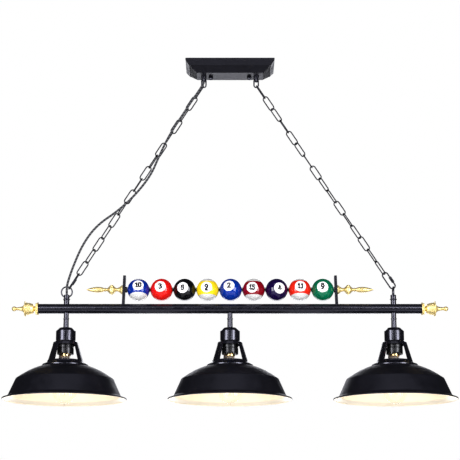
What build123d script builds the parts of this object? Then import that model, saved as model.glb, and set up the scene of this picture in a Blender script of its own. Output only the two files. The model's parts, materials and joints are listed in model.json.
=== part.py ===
from build123d import *
import os
from math import cos, hypot, pi, radians, sin, tan

# Pool table lamp: a ceiling canopy, two chains, a long bar with nine pool balls on it, and three
# barn shades under the bar. Millimetres. The origin is the middle of the canopy's ceiling face,
# +Z points up and the bar runs along X. The front of the lamp is its -Y side.

# ---------------------------------------------------------------- driving dimensions
BAR_Z = -656.0            # bar axis below the ceiling
BAR_R = 12.5
BAR_WALL = 1.3
BAR_HALF = 491.5
LAMP_X = (-419.5, 0.0, 419.5)
SIDE_NAMES = ("left", "middle", "right")

CANOPY_HALF_X = 116.9
CANOPY_HALF_Y = 60.1
CANOPY_DROP = 31.7
CANOPY_SHEET = 1.0
CANOPY_CORNER = 3.0
# each step of the pressed canopy: depth below the ceiling, inset from the rim
CANOPY_STEPS = ((0.0, 0.0), (4.0, 0.0), (17.0, 10.0), (18.6, 13.0), (31.7, 29.1))

STRAP_LENGTH = 118.0
STRAP_WIDTH = 20.0
STRAP_THICK = 2.5
STRAP_SLOT_X = 39.7
STRAP_SLOT_LENGTH = 14.1
STRAP_SLOT_R = 2.3
STUD_X = 51.0
STUD_R = 2.0
STUD_END = -38.5
GROUND_X = 14.0
GROUND_SHANK_R = 1.8
WIRE_NUT_PLACES = ((-38.0, 22.0), (-22.0, 9.0), (-38.0, -22.0))
WIRE_NUT_Z = -15.0
LEAD_R = 1.0

LOOP_X = 69.3             # canopy loops
LOOP_WIRE_R = 1.75
LOOP_ARC_R = 5.75
LOOP_ARC_Z = -56.5
LOOP_COLLAR_R = 7.2
LOOP_COLLAR_BOTTOM = -46.7
NIPPLE_R = 4.9
NIPPLE_BORE_R = 3.5

LINK_WIRE_R = 1.5         # chain
LINK_ARC_R = 7.0
LINK_LENGTH = 40.86       # between the wire centres of a link's two ends
LINKS_PER_CHAIN = 16      # the quick link is one more
QUICK_WIRE_R = 1.75
QUICK_ARC_R = 7.25
QUICK_LENGTH = 47.0
PIVOT_GAP = 0.5           # clearance where two moving bodies bear on each other

HANGER_RING_R = 13.85     # ring on the bar that takes the quick link
HANGER_RING_Z = BAR_Z + 43.4
HANGER_TOP = BAR_Z + 36.0
HANGER_BORE_R = 3.9

CORD_R = 3.0
WIRE_R = 1.5              # wires inside the bar

END_PLUG_DEPTH = 8.0
FINIAL_STUB_R = 3.0

BALL_R = 57.15 / 2
BALL_PITCH = 59.2
BALL_MIDDLE_X = 1.6
BALL_Z = BAR_Z + 49.7
BALL_BORE_R = 3.07
ROD_R = 3.0
ROD_HALF = 290.0
POST_X = 272.6            # at the rod
POST_THICK = 6.5
POST_WIDTH = 18.0
POST_TOP = BAR_Z + 86.0
POST_LEAN = 2.0           # degrees, tops drawn in by the rod
SPEAR_SEAT_X = POST_X + POST_THICK / 2 + 0.45

STEM_JOINT_Z = BAR_Z - 26.5
STEM_TAIL_Z = BAR_Z - 60.0
CUP_TOP = BAR_Z - 50.1
CUP_R = 25.0
CUP_TOP_R = 16.5
CUP_SHOULDER = BAR_Z - 58.2
CUP_BOTTOM = BAR_Z - 83.2
CUP_WALL = 1.2
HOLDER_FLANGE_Z = BAR_Z - 84.0
HOLDER_R = 17.4
HOLDER_BOTTOM = BAR_Z - 115.5
SHELL_R = 13.9            # brass screw shell, outside
SHELL_WALL = 0.5
RING_R = 21.0
RING_BOTTOM = BAR_Z - 118.0
RING_TEETH = 12

NECK_TOP = HOLDER_FLANGE_Z
NECK_TOP_R = 31.0
NECK_BASE_R = 45.8
NECK_BASE_Z = BAR_Z - 137.0
NECK_WALL = 1.6
NECK_WINDOWS = 3
WINDOW_HALF_ANGLE = 43.0
NECK_TURNS = (11.0, 5.0, -1.0)       # each neck's front window, turned from the front
WINDOW_TOP = BAR_Z - 93.5
WINDOW_BOTTOM = BAR_Z - 133.5

RIM_Z = BAR_Z - 234.0     # shade rim
SHADE_WALL = 1.2
RIM_BEAD_R = 1.9
RIM_R = 158.0
# outside of the shade: radius, height over the rim, corner radius
SHADE_OUTLINE = ((44.5, 88.6, 0.0), (58.0, 86.6, 60.0), (76.0, 80.2, 60.0), (93.0, 72.3, 60.0),
                 (109.0, 62.6, 60.0), (123.9, 52.6, 7.0), (142.9, 9.8, 5.0), (156.0, 2.1, 0.0))

BULB_TIP_Z = BAR_Z - 97.5
BULB_CAP_R = 13.0
BULB_CAP_BOTTOM = BAR_Z - 122.0
BULB_WALL = 0.9
# outside of the glass: radius, distance below the bar axis
BULB_OUTLINE = ((12.2, 122.0), (14.2, 130.0), (18.6, 146.0), (25.6, 167.0), (30.9, 188.0), (32.0, 203.0),
                (29.6, 220.0), (22.0, 234.5), (11.0, 242.2), (4.0, 244.2))
BULB_NUB_R = 2.4
BULB_NUB_Z = BAR_Z - 245.4


# ---------------------------------------------------------------- shared shapes
def turned(points, smooth=False):
    """Solid of revolution about Z from a closed outline of (radius, z) points."""
    corners = [(r, 0, z) for r, z in points]
    if smooth:
        curve = Spline(*corners)
        outline = [curve, Line(corners[-1], (0, 0, points[-1][1])),
                   Line((0, 0, points[-1][1]), (0, 0, points[0][1])), Line((0, 0, points[0][1]), corners[0])]
        return revolve(make_face(outline), Axis.Z)
    return revolve(make_face(Polyline(*corners, close=True)), Axis.Z)


def rod_between(radius, low, high, x=0.0, y=0.0):
    """Upright cylinder from z = low to z = high."""
    return Pos(x, y, (low + high) / 2) * Cylinder(radius, high - low)


def hex_prism(across_flats, low, high, x=0.0, y=0.0):
    """Upright hexagonal prism from z = low to z = high."""
    outline = RegularPolygon(across_flats / 2, 6, major_radius=False)
    return Pos(x, y, low) * extrude(outline, high - low)


def lower_half_ring(arc_r, wire_r):
    """Half ring of round wire in the XZ plane, below its centre."""
    return revolve(Pos(arc_r, 0, 0) * Circle(wire_r).face(), Axis.Y, 180)


def wire_link(length, arc_r, wire_r):
    """Closed stadium link of round wire, long axis Z, lying in the XZ plane."""
    half_leg = length / 2 - arc_r
    low_end = lower_half_ring(arc_r, wire_r)
    shape = Pos(0, 0, half_leg) * (Rot(0, 180, 0) * low_end)
    shape += Pos(0, 0, -half_leg) * low_end
    for x in (-arc_r, arc_r):
        shape += rod_between(wire_r, -half_leg, half_leg, x)
    return shape


def node(name, solids):
    """Write one named piece, or one group of identical pieces, to parts/NAME.step."""
    shapes = solids if isinstance(solids, list) else [solids]
    pieces = [solid for shape in shapes for solid in shape.solids()]
    shape = pieces[0] if len(pieces) == 1 else Compound(children=pieces)
    export_step(shape, f"parts/{name}.step")


# ---------------------------------------------------------------- canopy on the ceiling
def canopy_hull(grow, lift):
    """Stack of tapering blocks under the ceiling, shrunk by grow and lifted by lift."""
    levels = []
    for depth, inset in CANOPY_STEPS:
        width = 2 * (CANOPY_HALF_X - inset - grow)
        length = 2 * (CANOPY_HALF_Y - inset - grow)
        level = -depth + (lift if depth > 0 else 0)
        levels.append(Pos(0, 0, level) * RectangleRounded(width, length, CANOPY_CORNER))
    hull = loft([levels[0], levels[1]], ruled=True)
    for upper, lower in zip(levels[1:], levels[2:]):
        hull += loft([upper, lower], ruled=True)
    return hull


def make_canopy():
    shell = canopy_hull(0, 0) - canopy_hull(CANOPY_SHEET, CANOPY_SHEET)
    for side in (-1, 1):
        shell -= rod_between(STUD_R + 0.3, -CANOPY_DROP - 1, -CANOPY_DROP + 2, side * STUD_X)
        shell -= rod_between(NIPPLE_R + 0.2, -CANOPY_DROP - 1, -CANOPY_DROP + 2, side * LOOP_X)
    return shell


def make_crossbar():
    strap = extrude(SlotOverall(STRAP_LENGTH, STRAP_WIDTH), -STRAP_THICK)
    for side in (-1, 1):
        slot = extrude(SlotOverall(STRAP_SLOT_LENGTH, 2 * STRAP_SLOT_R), -STRAP_THICK)
        strap -= Pos(side * STRAP_SLOT_X, 0, 0) * slot
        strap -= rod_between(STUD_R + 0.05, -STRAP_THICK, 0, side * STUD_X)
    strap -= rod_between(GROUND_SHANK_R + 0.05, -STRAP_THICK, 0, GROUND_X)
    return strap


def make_crossbar_screws():
    studs = [rod_between(STUD_R, STUD_END, -0.2, side * STUD_X) for side in (-1, 1)]
    ground = rod_between(GROUND_SHANK_R, -STRAP_THICK, -0.3, GROUND_X)
    ground += rod_between(3.6, -STRAP_THICK - 2.4, -STRAP_THICK, GROUND_X)
    return studs + [ground]


def make_stud_nuts():
    nuts = []
    for side in (-1, 1):
        nut = hex_prism(7.0, -STRAP_THICK - 3.2, -STRAP_THICK, side * STUD_X)
        nuts.append(nut - rod_between(STUD_R + 0.05, -STRAP_THICK - 4, 0, side * STUD_X))
    return nuts


def make_cap_nuts():
    """Acorn nuts that hold the canopy up on its two studs."""
    nuts = []
    base = -CANOPY_DROP
    for side in (-1, 1):
        nut = hex_prism(10.0, base - 5.0, base, side * STUD_X)
        dome = Pos(side * STUD_X, 0, base - 5.5) * Sphere(4.9)
        nut += dome & Pos(side * STUD_X, 0, base - 5.0 - 6) * Box(12, 12, 12)
        nuts.append(nut - rod_between(STUD_R + 0.05, STUD_END - 0.3, base, side * STUD_X))
    return nuts


def make_canopy_loop(x):
    """Threaded nipple, collar and wire bail in one piece; the bail takes the first chain link."""
    top = -CANOPY_DROP
    collar = turned([(0, top), (LOOP_COLLAR_R, top), (LOOP_COLLAR_R, top - 5.6), (6.2, top - 6.8),
                     (6.2, top - 8.2), (LOOP_COLLAR_R - 0.3, top - 9.2),
                     (LOOP_COLLAR_R - 0.3, LOOP_COLLAR_BOTTOM + 1.2), (5.9, LOOP_COLLAR_BOTTOM),
                     (0, LOOP_COLLAR_BOTTOM)])
    collar += rod_between(NIPPLE_R, top, -18.0)
    leg_top = LOOP_COLLAR_BOTTOM + 3.0
    for side in (-1, 1):
        collar += rod_between(LOOP_WIRE_R, LOOP_ARC_Z, leg_top, side * LOOP_ARC_R)
    collar += Pos(0, 0, LOOP_ARC_Z) * lower_half_ring(LOOP_ARC_R, LOOP_WIRE_R)
    collar -= rod_between(NIPPLE_BORE_R, LOOP_COLLAR_BOTTOM - 1, -17)
    mouth = turned([(0, LOOP_COLLAR_BOTTOM), (4.9, LOOP_COLLAR_BOTTOM), (3.7, LOOP_COLLAR_BOTTOM + 5.5),
                    (0, LOOP_COLLAR_BOTTOM + 5.5)])
    collar -= mouth
    return Pos(x, 0, 0) * collar


def make_loop_nuts():
    nuts = []
    floor = -CANOPY_DROP + CANOPY_SHEET
    for side in (-1, 1):
        nut = hex_prism(14.0, floor, floor + 4.5, side * LOOP_X)
        nuts.append(nut - rod_between(NIPPLE_R + 0.05, floor - 1, floor + 5, side * LOOP_X))
    return nuts


def make_wire_nuts():
    """Twist-on connectors that join the lamp's leads to the house wires."""
    cone = turned([(0, -8), (4.0, -8), (4.4, -4), (3.2, 8), (0, 8)]) - rod_between(2.4, -9, 3)
    return [Pos(x, y, WIRE_NUT_Z) * (Rot(0, 90, 0) * cone) for x, y in WIRE_NUT_PLACES]


def make_supply_leads():
    """Three single wires from the cord's end in the left nipple to the wire nuts."""
    leads = []
    for index, (x, y) in enumerate(WIRE_NUT_PLACES):
        angle = radians(90 + 120 * index)
        start_x = -LOOP_X + 1.6 * cos(angle)
        start_y = 1.6 * sin(angle)
        height = -14.0 + 2.5 * index
        path = FilletPolyline((start_x, start_y, -28), (start_x, start_y, height),
                              (start_x + 14, y * 0.7, height), (x - 16, y, WIRE_NUT_Z),
                              (x - 5.6, y, WIRE_NUT_Z), radius=3.0)
        leads.append(sweep(Plane(path @ 0, z_dir=path % 0) * Circle(LEAD_R), path))
    return leads


# ---------------------------------------------------------------- chains
class Chain:
    """One taut chain: where it bears on its canopy loop and hanger ring, and where each link lies."""

    def __init__(self, start, end, end_offset):
        reach = hypot(end[0] - start[0], end[1] - start[1])
        self.dx = (end[0] - start[0]) / reach
        self.dz = (end[1] - start[1]) / reach
        self.top = (start[0] + LOOP_ARC_R * self.dx, start[1] + LOOP_ARC_R * self.dz)
        self.bottom = (end[0] - end_offset * self.dx, end[1] - end_offset * self.dz)
        span = hypot(self.bottom[0] - self.top[0], self.bottom[1] - self.top[1])
        self.first = -(LOOP_WIRE_R + LINK_WIRE_R + PIVOT_GAP)
        self.quick = span + LOOP_WIRE_R + QUICK_WIRE_R + PIVOT_GAP - QUICK_LENGTH
        self.second = self.first + LINK_LENGTH - 2 * LINK_WIRE_R - PIVOT_GAP
        last = self.quick - LINK_LENGTH + LINK_WIRE_R + QUICK_WIRE_R + PIVOT_GAP
        self.pitch = (last - self.second) / (LINKS_PER_CHAIN - 2)
        self.upper_pivot = self.along(self.second + LINK_WIRE_R + PIVOT_GAP / 2)
        self.lower_pivot = self.along(self.quick + QUICK_WIRE_R + PIVOT_GAP / 2)

    def along(self, distance):
        """Point (x, z) on the chain's line, this far below its upper bearing point."""
        return (self.top[0] + distance * self.dx, self.top[1] + distance * self.dz)

    def place(self, shape, top_end, length, roll):
        """Put a link on the line; roll 0 stands it edge-on to the front, 90 face-on."""
        x, z = self.along(top_end + length / 2)
        turn = radians(roll)
        outward = -1 if self.dx < 0 else 1
        width_dir = (sin(turn) * outward * -self.dz, -cos(turn), sin(turn) * outward * self.dx)
        return Plane(origin=(x, 0, z), x_dir=width_dir, z_dir=(-self.dx, 0, -self.dz)) * shape

    def link(self, index, roll):
        top_end = self.first if index == 0 else self.second + (index - 1) * self.pitch
        return self.place(wire_link(LINK_LENGTH, LINK_ARC_R, LINK_WIRE_R), top_end, LINK_LENGTH, roll)


# roll of each link about the chain's line, top link first
LEFT_ROLLS = (0, 88, 4, 86, -6, 84, 3, 90, -5, 85, 6, 95, 24, 100, 25, 98)
RIGHT_ROLLS = (0, 62, 120, 178, 92, 40, -12, 76, 26, -34, 88, 5, -52, 78, 10, -40)
LEFT_QUICK_ROLL = -18
RIGHT_QUICK_ROLL = 90

LEFT_CHAIN = Chain((-LOOP_X, LOOP_ARC_Z), (LAMP_X[0], HANGER_RING_Z), HANGER_RING_R)
RIGHT_CHAIN = Chain((LOOP_X, LOOP_ARC_Z), (LAMP_X[2], HANGER_RING_Z + HANGER_RING_R), 0.0)

QUICK_NUT_LOW = -10.0
QUICK_NUT_HIGH = 6.5
QUICK_GAP_LOW = -8.0
QUICK_GAP_HIGH = -2.5


def make_quick_link():
    """Screw link that joins chain and hanger; one leg is split, and the nut closes the split."""
    link = wire_link(QUICK_LENGTH, QUICK_ARC_R, QUICK_WIRE_R)
    gap = QUICK_GAP_HIGH - QUICK_GAP_LOW
    middle = (QUICK_GAP_HIGH + QUICK_GAP_LOW) / 2
    return link - Pos(QUICK_ARC_R, 0, middle) * Box(5, 5, gap)


def make_quick_nut():
    nut = Pos(QUICK_ARC_R, 0, 0) * hex_prism(6.4, QUICK_NUT_LOW, QUICK_NUT_HIGH)
    return nut - rod_between(QUICK_WIRE_R + 0.06, QUICK_NUT_LOW, QUICK_NUT_HIGH, QUICK_ARC_R)


# ---------------------------------------------------------------- supply cord
# Centre of the cord from the left canopy loop to the left hanger ring, top end first.
CORD_ROUTE = (
    (-69.3, 0.0, -42.7), (-69.3, -1.6, -49.6), (-71.2, -11.4, -57.0), (-78.5, -15.2, -71.0),
    (-97.5, -13.6, -99.0), (-129.0, -13.2, -148.5), (-160.5, -13.0, -199.5), (-186.5, -13.2, -257.0),
    (-206.5, -13.4, -306.5), (-246.0, -13.0, -358.5), (-290.5, -12.4, -401.0), (-344.5, -11.0, -438.5),
    (-379.5, -9.6, -487.0), (-404.0, -8.4, -546.5), (-417.8, -7.4, -590.0), (-419.5, -5.2, -606.5),
    (-419.5, 0.0, -617.5), (-419.5, 0.0, -625.0))
CORD_BEND_SHARE = 0.45


def bend_radii(route):
    """Largest tangent arc that each inner point's two runs allow."""
    points = [Vector(*point) for point in route]
    radii = []
    for before, here, after in zip(points, points[1:], points[2:]):
        turn = radians((here - before).get_angle(after - here))
        shorter = min((here - before).length, (after - here).length)
        radii.append(CORD_BEND_SHARE * shorter / tan(turn / 2))
    return radii


def make_cord():
    radii = bend_radii(CORD_ROUTE)
    path = FilletPolyline(*CORD_ROUTE, radius=radii)
    tube = sweep(Plane(path @ 0, z_dir=path % 0) * Circle(CORD_R), path)
    expected = pi * CORD_R ** 2 * path.length
    print("cord length", round(path.length, 1), "volume ratio", round(tube.volume / expected, 4))
    return tube


# ---------------------------------------------------------------- bar and what hangs it
def bar_cylinder(radius, length):
    return Pos(0, 0, BAR_Z) * (Rot(0, 90, 0) * Cylinder(radius, length))


def make_bar_tube():
    tube = bar_cylinder(BAR_R, 2 * BAR_HALF) - bar_cylinder(BAR_R - BAR_WALL, 2 * BAR_HALF)
    for x in LAMP_X:
        tube -= rod_between(NIPPLE_R + 0.1, BAR_Z - 20, BAR_Z, x)
        if x:
            tube -= rod_between(NIPPLE_R + 0.1, BAR_Z, BAR_Z + 20, x)
    return tube


def make_end_plugs():
    """Discs in the tube's ends that the end finials screw into."""
    plugs = []
    for side in (-1, 1):
        disc = Cylinder(BAR_R - BAR_WALL - 0.05, END_PLUG_DEPTH) - Cylinder(FINIAL_STUB_R + 0.05, 20)
        plugs.append(Pos(side * (BAR_HALF - END_PLUG_DEPTH / 2), 0, BAR_Z) * (Rot(0, 90, 0) * disc))
    return plugs


def make_hanger(x, ring_turn):
    """Collar on the bar with a wire ring over it; the cord can pass down through the collar."""
    low = BAR_Z + 9.0
    collar = turned([(0, low), (7.0, low), (7.0, BAR_Z + 21.5), (8.8, BAR_Z + 23.4), (8.8, BAR_Z + 25.2),
                     (7.0, BAR_Z + 27.2), (7.2, HANGER_TOP - 0.8), (6.6, HANGER_TOP), (0, HANGER_TOP)])
    ring = Rot(90, 0, 0) * Torus(HANGER_RING_R, LOOP_WIRE_R)
    collar += Pos(0, 0, HANGER_RING_Z) * (Rot(0, 0, ring_turn) * ring)
    collar -= rod_between(HANGER_BORE_R, low, HANGER_TOP + 4)
    collar -= turned([(0, HANGER_TOP - 5), (HANGER_BORE_R, HANGER_TOP - 5), (5.4, HANGER_TOP + 0.01),
                      (5.4, HANGER_TOP + 4), (0, HANGER_TOP + 4)])
    collar -= rod_between(NIPPLE_R + 0.05, low, BAR_Z + 19.0)
    return Pos(x, 0, 0) * collar - bar_cylinder(BAR_R + 0.05, 2 * BAR_HALF)


def make_nipples():
    """Threaded tubes through the bar; the wires branch out of their windows."""
    nipples = []
    for x in LAMP_X:
        high = BAR_Z + 18.5 if x else BAR_Z - 7.4
        tube = rod_between(NIPPLE_R, BAR_Z - 21.5, high)
        if not x:
            tube += rod_between(6.2, BAR_Z - 9.3, BAR_Z - 7.4)
        tube -= rod_between(NIPPLE_BORE_R, BAR_Z - 30, BAR_Z + 30)
        if x:
            tube -= Pos(0, 0, BAR_Z) * Box(20, 5, 9)
        nipples.append(Pos(x, 0, 0) * tube)
    return nipples


def make_stem_couplings():
    couplings = []
    for x in LAMP_X:
        body = turned([(0, BAR_Z - 9), (6.3, BAR_Z - 9), (6.3, BAR_Z - 24.0), (7.4, BAR_Z - 24.8),
                       (7.4, STEM_JOINT_Z), (0, STEM_JOINT_Z)])
        body -= rod_between(NIPPLE_R + 0.05, STEM_JOINT_Z, BAR_Z)
        couplings.append(Pos(x, 0, 0) * body - bar_cylinder(BAR_R + 0.05, 2 * BAR_HALF))
    return couplings


def make_stems():
    """Short tubes from the couplings to the socket cups, with a threaded tail at each end."""
    stems = []
    for x in LAMP_X:
        body = turned([(0, BAR_Z - 22.0), (NIPPLE_R, BAR_Z - 22.0), (NIPPLE_R, STEM_JOINT_Z),
                       (7.0, STEM_JOINT_Z), (7.0, STEM_JOINT_Z - 1.2), (6.5, STEM_JOINT_Z - 2.0),
                       (6.9, CUP_TOP), (NIPPLE_R, CUP_TOP), (NIPPLE_R, STEM_TAIL_Z), (0, STEM_TAIL_Z)])
        stems.append(Pos(x, 0, 0) * (body - rod_between(NIPPLE_BORE_R, STEM_TAIL_Z - 1, BAR_Z)))
    return stems


def make_bar_wiring():
    """Straight inner wires: one down each stem, and the runs along the bar between them."""
    wires = []
    for x in LAMP_X:
        high = HANGER_TOP - 11.4 if x < 0 else BAR_Z + 3
        wires.append(rod_between(WIRE_R, STEM_TAIL_Z + 0.5, high, x))
    for start, end in ((LAMP_X[0], LAMP_X[1]), (LAMP_X[1], LAMP_X[2])):
        run = end - start - 2 * WIRE_R - 0.4
        middle = (start + end) / 2
        wires.append(Pos(middle, 0, BAR_Z) * (Rot(0, 90, 0) * Cylinder(WIRE_R, run)))
    return wires


# ---------------------------------------------------------------- gilt finials
# distance out from the seat, radius
END_FINIAL_OUTLINE = ((0, 0), (0, 16.4), (1.9, 16.4), (2.4, 13.4), (5.6, 12.2), (7.6, 7.0), (9.6, 6.0),
                      (11.6, 7.4), (13.4, 12.0), (17.5, 13.6), (23.0, 15.0), (29.0, 15.6), (31.8, 16.4),
                      (33.0, 19.6), (34.6, 19.6), (35.6, 13.0), (38.0, 8.6), (42.0, 5.9), (48.0, 4.5),
                      (55.6, 3.7), (57.0, 4.2))
END_FINIAL_BALL = (62.0, 6.1)
SPEAR_OUTLINE = ((0, 0), (0, 11.4), (2.0, 11.8), (4.2, 9.8), (8.0, 6.6), (13.0, 4.4), (16.5, 4.3),
                 (20.0, 7.0), (24.0, 11.6), (27.6, 12.8), (31.0, 11.8), (35.0, 7.6), (38.6, 4.3),
                 (41.0, 3.4), (43.0, 4.6), (45.0, 4.7), (46.6, 3.7), (50.0, 5.4), (56.0, 6.9),
                 (66.0, 7.4), (76.0, 6.1), (85.0, 3.6), (92.0, 0.9), (92.6, 0))
BEADS = 16
BEAD_R = 2.5
BEAD_CIRCLE_R = 12.4
BEAD_OUT = 4.6
FLUTES = 12


def outward(shape, x, z, side):
    """Lay a shape made along +Z so that it points away from the lamp's middle."""
    return Pos(x, 0, z) * (Rot(0, 90 * side, 0) * shape)


def make_end_finial(side):
    body = turned([(radius, out) for out, radius in END_FINIAL_OUTLINE] + [(0, END_FINIAL_OUTLINE[-1][0])])
    body += Pos(0, 0, END_FINIAL_BALL[0]) * Sphere(END_FINIAL_BALL[1])
    for index in range(BEADS):
        angle = 360 / BEADS * index
        body += Rot(0, 0, angle) * Pos(BEAD_CIRCLE_R, 0, BEAD_OUT) * Sphere(BEAD_R)
    for index in range(FLUTES):
        groove = Pos(17.6, 0, 21.5) * (Rot(0, 3, 0) * Cylinder(3.0, 15.0))
        body -= Rot(0, 0, 360 / FLUTES * index) * groove
    body += rod_between(FINIAL_STUB_R, -END_PLUG_DEPTH + 1, 0)
    return outward(body, side * BAR_HALF, BAR_Z, side)


def make_spear(side):
    body = turned([(radius, out) for out, radius in SPEAR_OUTLINE])
    for index in range(FLUTES):
        groove = Pos(14.4, 0, 27.4) * Sphere(3.4)
        body -= Rot(0, 0, 360 / FLUTES * index) * groove
    body -= rod_between(ROD_R + 0.05, -1, ROD_HALF - SPEAR_SEAT_X + 0.3)
    return outward(body, side * SPEAR_SEAT_X, BALL_Z, side)


# ---------------------------------------------------------------- ball row
def make_post(side):
    """Flat upright that carries one end of the rod; it stands on the bar and leans in slightly."""
    height = POST_TOP - BAR_Z - 8
    blade = Box(POST_THICK, POST_WIDTH, height)
    blade = fillet(blade.edges().filter_by(Axis.X).group_by(Axis.Z)[-1], 2.5)
    middle = BAR_Z + 8 + height / 2 - BALL_Z
    post = Pos(side * POST_X, 0, BALL_Z) * (Rot(0, -side * POST_LEAN, 0) * (Pos(0, 0, middle) * blade))
    post -= Pos(side * POST_X, 0, BALL_Z) * (Rot(0, 90, 0) * Cylinder(ROD_R + 0.15, 3 * POST_THICK))
    return post - bar_cylinder(BAR_R + 0.05, 2 * BAR_HALF)


def along_rod(shape, x):
    return Pos(x, 0, BALL_Z) * (Rot(0, 90, 0) * shape)


def make_rod():
    return along_rod(Cylinder(ROD_R, 2 * ROD_HALF), 0)


def ball_x(index):
    return BALL_MIDDLE_X + (index - 4) * BALL_PITCH


def make_rod_nuts():
    """One nut between each post and the nearest ball."""
    nuts = []
    clear = 0.5
    for side, index in ((-1, 0), (1, 8)):
        outer = side * (POST_X - POST_THICK / 2 - 0.5)
        inner = ball_x(index) + side * (BALL_R + clear - 0.2)
        length = abs(outer - inner)
        nut = Pos(0, 0, -length / 2) * hex_prism(13.0, 0, length) - Cylinder(ROD_R + 0.05, 20)
        nuts.append(along_rod(nut, (outer + inner) / 2))
    return nuts


def make_spacers():
    """Black washers between the balls."""
    washer = Cylinder(6.4, 1.5) - Cylinder(ROD_R + 0.05, 5)
    return [along_rod(washer, (ball_x(index) + ball_x(index + 1)) / 2) for index in range(8)]


def make_ball(index):
    return along_rod(Sphere(BALL_R) - Cylinder(BALL_BORE_R, 3 * BALL_R), ball_x(index))


# ---------------------------------------------------------------- socket, neck, shade and bulb
def make_cup(x):
    inner_r = CUP_R - CUP_WALL
    cup = turned([(0, CUP_TOP), (CUP_TOP_R, CUP_TOP), (CUP_R, CUP_SHOULDER), (CUP_R, CUP_BOTTOM),
                  (inner_r, CUP_BOTTOM), (inner_r, CUP_SHOULDER - 0.5),
                  (CUP_TOP_R - 0.6, CUP_TOP - CUP_WALL), (0, CUP_TOP - CUP_WALL)])
    return Pos(x, 0, 0) * (cup - rod_between(NIPPLE_R + 0.1, CUP_TOP - 5, CUP_TOP + 1))


def make_lampholder(x):
    """Moulded holder: cap under the cup, flange on the neck, threaded skirt through the neck."""
    cap_top = CUP_TOP - CUP_WALL
    skirt_inner = SHELL_R + 0.1
    body = turned([(0, cap_top), (10.0, cap_top), (13.0, cap_top - 4.0), (19.5, cap_top - 9.0),
                   (19.5, HOLDER_FLANGE_Z + 3.0), (22.8, HOLDER_FLANGE_Z + 2.2), (22.8, HOLDER_FLANGE_Z),
                   (HOLDER_R, HOLDER_FLANGE_Z), (HOLDER_R, HOLDER_BOTTOM), (skirt_inner, HOLDER_BOTTOM),
                   (skirt_inner, BAR_Z - 89.0), (0, BAR_Z - 89.0)])
    body -= rod_between(NIPPLE_R + 0.05, STEM_TAIL_Z - 0.5, CUP_TOP)
    return Pos(x, 0, 0) * body


def make_screw_shell(x):
    """Brass shell and centre contact that the bulb's cap makes contact with."""
    shell = rod_between(SHELL_R, BAR_Z - 113.5, BAR_Z - 89.05)
    shell -= rod_between(SHELL_R - SHELL_WALL, BAR_Z - 114, BAR_Z - 90.0)
    shell += rod_between(3.2, BAR_Z - 96.6, BAR_Z - 89.5)
    return Pos(x, 0, 0) * shell


def make_shade_ring(x):
    """Castellated ring nut that clamps the neck against the lampholder's flange."""
    top = NECK_TOP - NECK_WALL
    middle = BAR_Z - 101.5
    ring = turned([(HOLDER_R + 0.1, top), (RING_R, top), (RING_R, middle + 1.0), (RING_R - 1.2, middle),
                   (RING_R, middle - 1.0), (RING_R, RING_BOTTOM), (HOLDER_R + 0.1, RING_BOTTOM)])
    for index in range(RING_TEETH):
        notch = Pos(RING_R, 0, RING_BOTTOM) * Box(12, 5.4, 9.0)
        ring -= Rot(0, 0, 360 / RING_TEETH * index + 15) * notch
    for index in range(RING_TEETH):
        groove = rod_between(1.1, middle + 1.5, top, RING_R + 0.3)
        ring -= Rot(0, 0, 360 / RING_TEETH * index) * groove
    return Pos(x, 0, 0) * ring


def neck_outline(shrink):
    """Outside of the neck's cone, or its inside when shrunk by the wall."""
    base_r = NECK_BASE_R - shrink
    return [(0, NECK_TOP - shrink), (NECK_TOP_R - 5.0 - shrink * 0.4, NECK_TOP - shrink),
            (NECK_TOP_R - shrink, NECK_TOP - 3.4 - shrink * 0.4), (base_r, NECK_BASE_Z), (0, NECK_BASE_Z)]


def make_neck(x, turn):
    """Open neck of the shade: a cone with three windows, and a flange that sits on the shade."""
    flange_top = RIM_Z + 91.3
    cone = turned(neck_outline(0)) - turned(neck_outline(NECK_WALL))
    flange_inner = NECK_BASE_R - NECK_WALL
    cone += turned([(flange_inner, NECK_BASE_Z), (NECK_BASE_R, NECK_BASE_Z), (49.0, flange_top + 1.6),
                    (57.0, flange_top - 0.8), (58.6, flange_top - 2.6), (58.6, flange_top - 4.9),
                    (57.0, flange_top - 4.4), (44.5, flange_top - 2.5), (flange_inner, flange_top - 2.2)])
    wedge = window_wedge()
    for index in range(NECK_WINDOWS):
        cone -= Rot(0, 0, 360 / NECK_WINDOWS * index) * wedge
    cone -= rod_between(HOLDER_R + 0.15, NECK_TOP - 3, NECK_TOP + 1)
    return Pos(x, 0, 0) * (Rot(0, 0, turn) * cone)


def window_wedge():
    """Wedge about the -Y direction that cuts one window, with rounded upper corners."""
    reach = 70.0
    across = reach * tan(radians(WINDOW_HALF_ANGLE))
    plan = make_face(Polyline((0, -4), (-across, -reach), (across, -reach), close=True))
    height = WINDOW_TOP - WINDOW_BOTTOM
    wedge = Pos(0, 0, WINDOW_BOTTOM) * extrude(plan, height)
    arch_plan = RectangleRounded(66.0, 2 * height, 9.0)
    arch = Pos(0, 0, WINDOW_BOTTOM) * (Rot(90, 0, 0) * extrude(arch_plan, reach))
    return wedge & arch


def offset_outline(outline, distance):
    """Move an open outline of (radius, height, corner) points inwards by a wall thickness."""
    points = [(r, z) for r, z, _ in outline]
    normals = []
    for (r0, z0), (r1, z1) in zip(points, points[1:]):
        run = hypot(r1 - r0, z1 - z0)
        normals.append(((z1 - z0) / run, -(r1 - r0) / run))
    moved = []
    for index, (r, z) in enumerate(points):
        before = normals[max(index - 1, 0)]
        after = normals[min(index, len(normals) - 1)]
        scale = distance / (1 + before[0] * after[0] + before[1] * after[1])
        moved.append((r + scale * (before[0] + after[0]), z + scale * (before[1] + after[1])))
    return moved


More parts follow.
